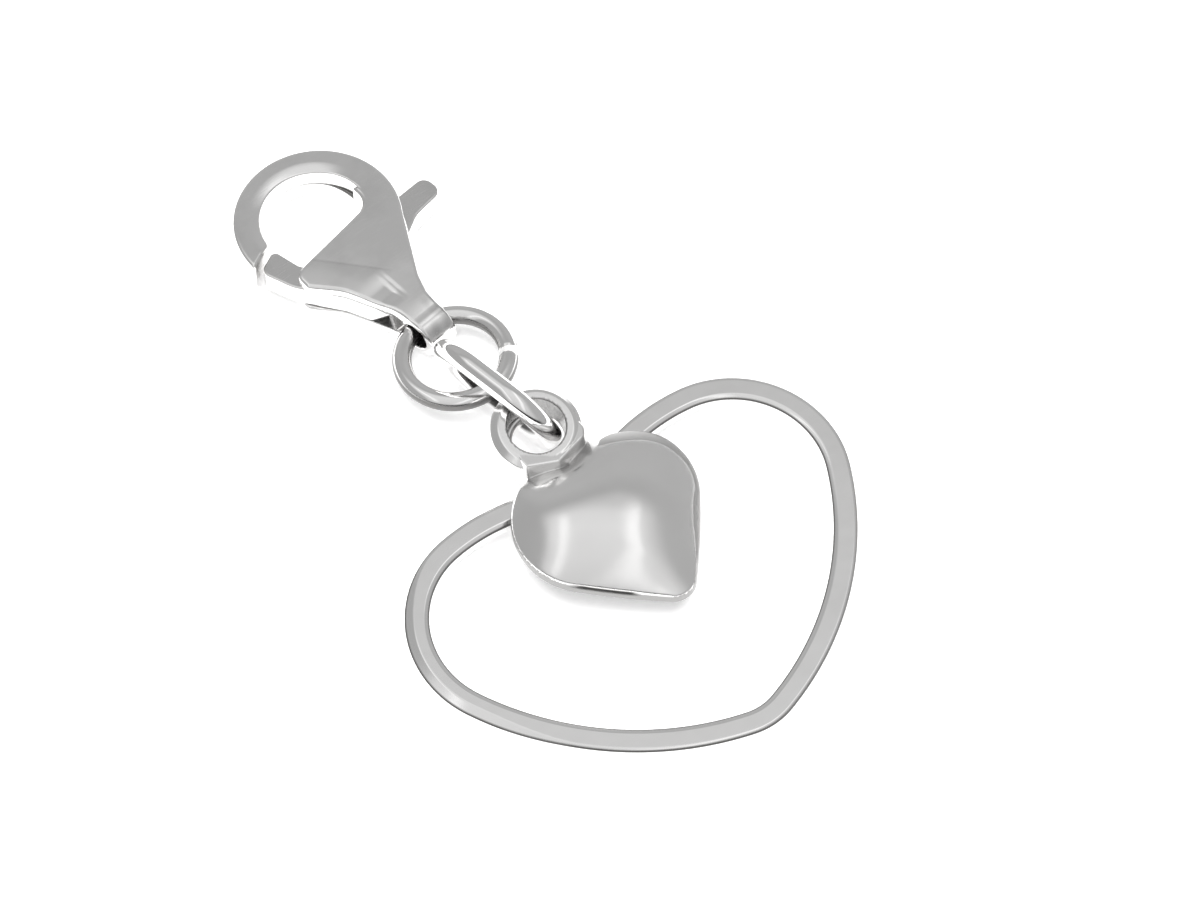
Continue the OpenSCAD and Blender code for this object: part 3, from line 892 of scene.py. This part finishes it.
def paintedShadeBelow(spots, upright, normals):
    # painted shade on the lower half of the wire, standing in for the shaded floor it reflects; its cut ends are
    # left bright
    fromGap = np.abs(np.arctan2(spots[:, 1], spots[:, 0])) - math.radians(openRing["Gap"] / 2)
    shade = openRingPaintedShade["shade"] * risen(upright[:, 2], *openRingPaintedShade["from"])
    return shade * risen(fromGap, 0, openRingPaintedShade["end"])


openRingMesh = grownMesh("open_jump_ring", openRingTree(), openRing, openRingLie, paintedShade=paintedShadeBelow)
showPiece("open_jump_ring", openRingMesh, paints["wire"], "charm", ["jump_ring_open"])


# Oval link ring

linkRing = {
    "Long": 6.2, "Wide": 4.2, "Bend": 2.1, "Wire": 0.5, "Step": 0.08, "Sides": 56, "Paint": paints["wire"],
}
# the inner sides' painted shade, how far in a normal points where that starts, and how far along the link it runs
linkRingPaintedShade = {"shade": 0.85, "from": (0.5, 0.3), "long": (2.6, -0.8)}
linkRingLie = (Matrix.Translation((-0.35, 1.567, 2.53)) @ Matrix.Rotation(math.radians(-78.8), 4, "Z")
               @ Matrix.Rotation(math.radians(107), 4, "X"))


def linkRingTree():
    tree, start = newTree("linkRing", linkRing)
    bend = start.read("Bend") * 0.9999      # a hair under, so that the two bends of an end stay apart
    oval = roundedBox(start, start.read("Long"), start.read("Wide"), bend, 64)
    even = evenSteps(start, oval, start.read("Step"))
    circle = circleOf(start, start.read("Wire"), start.read("Sides"))
    wire = start.make("GeometryNodeCurveToMesh", None, {"Curve": even, "Profile Curve": circle})
    endTree(start, wire)
    return tree


def paintedShadeInside(spots, upright, normals):
    # painted shade on the long inner sides of the link, which face each other
    inward = -normals[:, 1] * np.sign(spots[:, 1])
    middle = risen(np.abs(spots[:, 0]), *linkRingPaintedShade["long"])
    return linkRingPaintedShade["shade"] * risen(inward, *linkRingPaintedShade["from"]) * middle


linkRingMesh = grownMesh("link_jump_ring", linkRingTree(), linkRing, linkRingLie, paintedShade=paintedShadeInside)
showPiece("link_jump_ring", linkRingMesh, paints["wire"], "charm", ["jump_ring_link"])


# Large open heart: a bar along the heart's path, with its loop and neck

openHeart = {
    "tip": 9.75, "arcs": [[3.0, 16], [14.6, 48], [4.6, 108], [9.4, 36]], "step": 0.12,
    "lift": 4.2, "middleY": -7.683, "neckShares": (0.8, 0.25), "innerFade": (0, 0.1),
    "lineRise": (-0.14, -0.07), "lineFall": (0.0, 0.05), "lineAcross": (0.4, 0.48),
    "Bar Wide": 1.06, "Bar High": 0.74, "Bar Soft": 0.14, "Bar Step": 0.045,
    "Slope Wide": 0.13, "Slope More": 0.27, "Slope From": 7.5, "Slope Full": 10.0, "Slope Inner": 0.2,
    "Slope Steep": 0.52, "Line Dark": 0.97,
    "Loop Y": 6.55, "Loop Out": 2.05, "Loop In": 1.3, "Loop Soft": 0.2, "Neck Wide": 1.5, "Neck In": 0.3,
    "Paint": paints["openHeart"],
}
openHeartTip = openHeart["tip"] + openHeart["Bar Wide"] / 2
openHeartLift = math.radians(openHeart["lift"])
openHeartLie = (Matrix.Translation((0, openHeart["middleY"] - openHeartTip * math.cos(openHeartLift), 0))
                @ Matrix.Rotation(openHeartLift, 4, "X") @ Matrix.Translation((0, openHeartTip, 0)))


def openHeartTree(notchY):
    tree, start = newTree("openHeart", openHeart)
    high = start.read("Bar High")

    def section(wide, tall, soft):
        return roundedBox(start, wide, tall, soft, 7)

    def swept(path, profile, closed):
        upright = start.make("GeometryNodeSetCurveNormal", {"mode": "Z_UP"}, {"Curve": path})
        return start.make("GeometryNodeCurveToMesh", None,
                          {"Curve": upright, "Profile Curve": profile, "Fill Caps": not closed})

    def stored(shape, name, value):
        return start.make("GeometryNodeStoreNamedAttribute", {"data_type": "FLOAT", "domain": "POINT"},
                          {"Geometry": shape, "Name": name, "Value": value})

    def moved(shape, **shifts):
        shift = start.make("ShaderNodeCombineXYZ", None, shifts)
        return start.make("GeometryNodeTransform", None, {"Geometry": shape, "Translation": shift})

    # both upper edges of the bar are cut to a slope, and the outer one is wider on the heart's left
    fine = evenSteps(start, section(start.read("Bar Wide"), high, start.read("Bar Soft")), start.read("Bar Step"))
    profile = stored(fine, "across", start.make("GeometryNodeInputPosition").dot((1, 0, 0)))
    path = start.make("GeometryNodeMeshToCurve", None, {"Mesh": start.read("Geometry")})
    block = swept(path, profile, True)
    where = start.make("GeometryNodeInputPosition")
    left = -1 * where.dot((1, 0, 0))
    across = start.make("GeometryNodeInputNamedAttribute", {"data_type": "FLOAT"}, {"Name": "across"})
    wide = start.read("Slope Wide")
    wide = wide + start.read("Slope More") * left.ease(start.read("Slope From"), start.read("Slope Full"))
    wide = wide + (start.read("Slope Inner") - wide) * (-1 * across).ease(*openHeart["innerFade"])
    past = (across.size() - start.read("Bar Wide") / 2 + wide).larger(0)
    roof = high / 2 - start.read("Slope Steep") * past
    drop = start.make("ShaderNodeCombineXYZ", None, {"Z": (roof - where.dot((0, 0, 1))).smaller(0)})
    bar = start.make("GeometryNodeSetPosition", None, {"Geometry": block, "Offset": drop})

    # a painted dark line of shade just under each slope
    edge = high / 2 - start.read("Slope Steep") * wide
    level = start.make("GeometryNodeInputPosition").dot((0, 0, 1)) - edge
    line = bandOf(level, openHeart["lineRise"], openHeart["lineFall"])
    line = line * across.size().ease(*openHeart["lineAcross"])
    bar = stored(bar, "shadeAndTarnish", line * start.read("Line Dark"))

    loopOut, loopIn, loopY = (start.read(name) for name in ("Loop Out", "Loop In", "Loop Y"))
    circle = circleOf(start, (loopOut + loopIn) / 2, 128)
    loop = moved(swept(circle, section(loopOut - loopIn, high, start.read("Loop Soft")), True), Y=loopY)
    neckFrom = start.make("ShaderNodeCombineXYZ", None, {"Y": notchY - start.read("Neck In")})
    neckTo = start.make("ShaderNodeCombineXYZ", None, {"Y": loopY - loopIn - start.read("Neck In")})
    core = start.make("GeometryNodeCurvePrimitiveLine", {"mode": "POINTS"}, {"Start": neckFrom, "End": neckTo})
    neckHigh, neckSoft = (high * share for share in openHeart["neckShares"])
    neck = swept(core, section(start.read("Neck Wide"), neckHigh, neckSoft), False)
    joined = addNode(tree, "GeometryNodeJoinGeometry")
    for part in (bar, loop, neck):
        tree.links.new(part.socket, joined.socket.node.inputs[0])
    endTree(start, moved(joined, Z=high / 2))
    return tree


openHeartPath = heartOutline(openHeart["tip"], openHeart["arcs"], openHeart["step"])
openHeartNotch = float(heartHalf(openHeart["tip"], openHeart["arcs"], 1)[1][1])
openHeartMesh = grownMesh("open_heart", openHeartTree(openHeartNotch), openHeart, openHeartLie, openHeartPath)
showPiece("open_heart", openHeartMesh, paints["openHeart"], "charm", ["outline_heart"])
print("grown pieces are in place")


# The hinge pin keeps its CAD shape

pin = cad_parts["clasp_pin"]
for slotNumber in range(len(pin.material_slots)):
    pin.material_slots[slotNumber].material = paints["trigger"]


# Studio: pale floor, soft light, camera

# angles are in degrees; the ceiling's stops, [place, brightness], run from behind the camera to ahead of it,
# and a strip has its rise and fall across and then along
studio = {
    "floorSize": 1.2, "floorDrop": 0.00001, "floorGlow": 0.35,
    "floorTone": (0.9, 0.9, 0.9, 1), "floorSpeck": (0.88, 0.88, 0.88, 1),
    "lampSize": 0.5, "lampHeight": 0.6, "lampPower": 5.6,
    "ceiling": [(0.0, 0.1), (0.06, 0.12), (0.1, 0.6), (0.28, 0.7), (0.5, 0.76), (0.59, 0.73),
                (0.68, 0.40), (0.78, 0.46), (0.9, 0.45), (1.0, 0.42)],
    "rightWall": 0.44, "rightFrom": (18, 50), "leftWall": 0.40, "leftFrom": (36, 46),
    "stripLight": 0.30, "rightStrip": [(7, 16), (20, 23), (-75, -50), (14, 30)],
    "leftStrip": [(-33, -30), (-28, -23), (-62, -40), (8, 24)],
    "ahead": (0.6, 0.8, 0), "aside": (0.8, -0.6, 0), "bendFrom": -20, "bendShare": 0.4,
    "nearDark": 0.8, "nearFacing": (0.5, 0.85), "nearHeight": (8, 16), "lowLight": 0.35, "lowHeight": (0.5, 5),
}


def floorPaint():
    paint, tree = emptied(bpy.data.materials.new("paleFloor"))
    speck = noiseOf(placeInMillimetres(tree), 2, 2, 0.5)
    shader = addNode(tree, "ShaderNodeBsdfPrincipled", None, {
        "Base Color": colourBetween(studio["floorTone"], studio["floorSpeck"], speck.ease(0.4, 0.6)),
        "Roughness": 0.8,
        "Specular IOR Level": 0.2,
        "Emission Color": (1, 1, 1, 1),
        "Emission Strength": studio["floorGlow"]})
    addNode(tree, "ShaderNodeOutputMaterial", None, {"Surface": shader})
    return paint


half = studio["floorSize"] / 2
floorMesh = bpy.data.meshes.new("floor")
floorMesh.from_pydata([(-half, -half, 0), (half, -half, 0), (half, half, 0), (-half, half, 0)], [], [(0, 1, 2, 3)])
floorMesh.transform(Matrix.Translation((0, 0, -studio["floorDrop"])))
floorMesh.materials.append(floorPaint())
newObject("floor", floorMesh)

lamp = newObject("overheadLamp", bpy.data.lights.new("overheadLamp", "AREA"))
lamp.data.shape = "SQUARE"
lamp.data.size = studio["lampSize"]
lamp.data.energy = studio["lampPower"]
lamp.location = (0, 0, studio["lampHeight"])
lamp.visible_glossy = False


def rampOf(signal, stops):
    node = signal.make("ShaderNodeValToRGB", None, {"Fac": signal})
    ramp = node.socket.node.color_ramp
    while len(ramp.elements) > 1:
        ramp.elements.remove(ramp.elements[-1])
    for number, (spot, level) in enumerate(stops):
        element = ramp.elements[0] if number == 0 else ramp.elements.new(spot)
        element.position = spot
        element.color = (level, level, level, 1)
    return node


def studioWorld():
    # a soft ceiling with two bright strips that run away from the camera, and grey walls
    world, tree = emptied(bpy.data.worlds.new("softStudio"))
    look = addNode(tree, "ShaderNodeTexCoord").read("Generated")
    up = look.dot((0, 0, 1))
    ahead = look.dot(studio["ahead"])
    aside = look.dot(studio["aside"])
    overhead = up.sum("ARCTAN2", ahead, up) * math.degrees(1)
    sideways = aside.sum("ARCSINE", aside) * math.degrees(1)
    height = up.sum("ARCSINE", up) * math.degrees(1)
    level = rampOf((overhead + 90) / 180, studio["ceiling"])
    level = level + (studio["rightWall"] - level) * sideways.ease(*studio["rightFrom"])
    level = level + (studio["leftWall"] - level) * (-1 * sideways).ease(*studio["leftFrom"])
    # the right strip turns outwards behind the camera
    bent = sideways + (studio["bendFrom"] - overhead).larger(0) * studio["bendShare"]
    for place, strip in ((bent, studio["rightStrip"]), (sideways, studio["leftStrip"])):
        level = level + bandOf(place, *strip[:2]) * bandOf(overhead, *strip[2:]) * studio["stripLight"]
    nearSide = (-1 * ahead).ease(*studio["nearFacing"]) * (1 - height.ease(*studio["nearHeight"]))
    level = level * (1 - nearSide * studio["nearDark"])
    level = level * (studio["lowLight"] + (1 - studio["lowLight"]) * height.ease(*studio["lowHeight"]))
    shader = addNode(tree, "ShaderNodeBackground", None, {"Color": level, "Strength": 1.0})
    addNode(tree, "ShaderNodeOutputWorld", None, {"Surface": shader})
    return world


bpy.context.scene.world = studioWorld()
bpy.context.scene.view_settings.view_transform = "Standard"

camera = {
    "aim": (2.43, -2.233, 0), "elevation": 58.5, "azimuth": -36.87, "distance": 200, "lens": 135, "sensor": 36,
}
azimuth, elevation = math.radians(camera["azimuth"]), math.radians(camera["elevation"])
backward = Vector((math.sin(azimuth) * math.cos(elevation), -math.cos(azimuth) * math.cos(elevation),
                   math.sin(elevation)))
eye = newObject("camera", bpy.data.cameras.new("camera"))
eye.data.lens = camera["lens"]
eye.data.sensor_width = camera["sensor"]
eye.data.clip_start, eye.data.clip_end = 0.01, 10
eye.location = (Vector(camera["aim"]) + backward * camera["distance"]) * mm
eye.rotation_mode = "QUATERNION"
eye.rotation_quaternion = (-backward).to_track_quat("-Z", "Y")
bpy.context.scene.camera = eye
print("studio is ready")
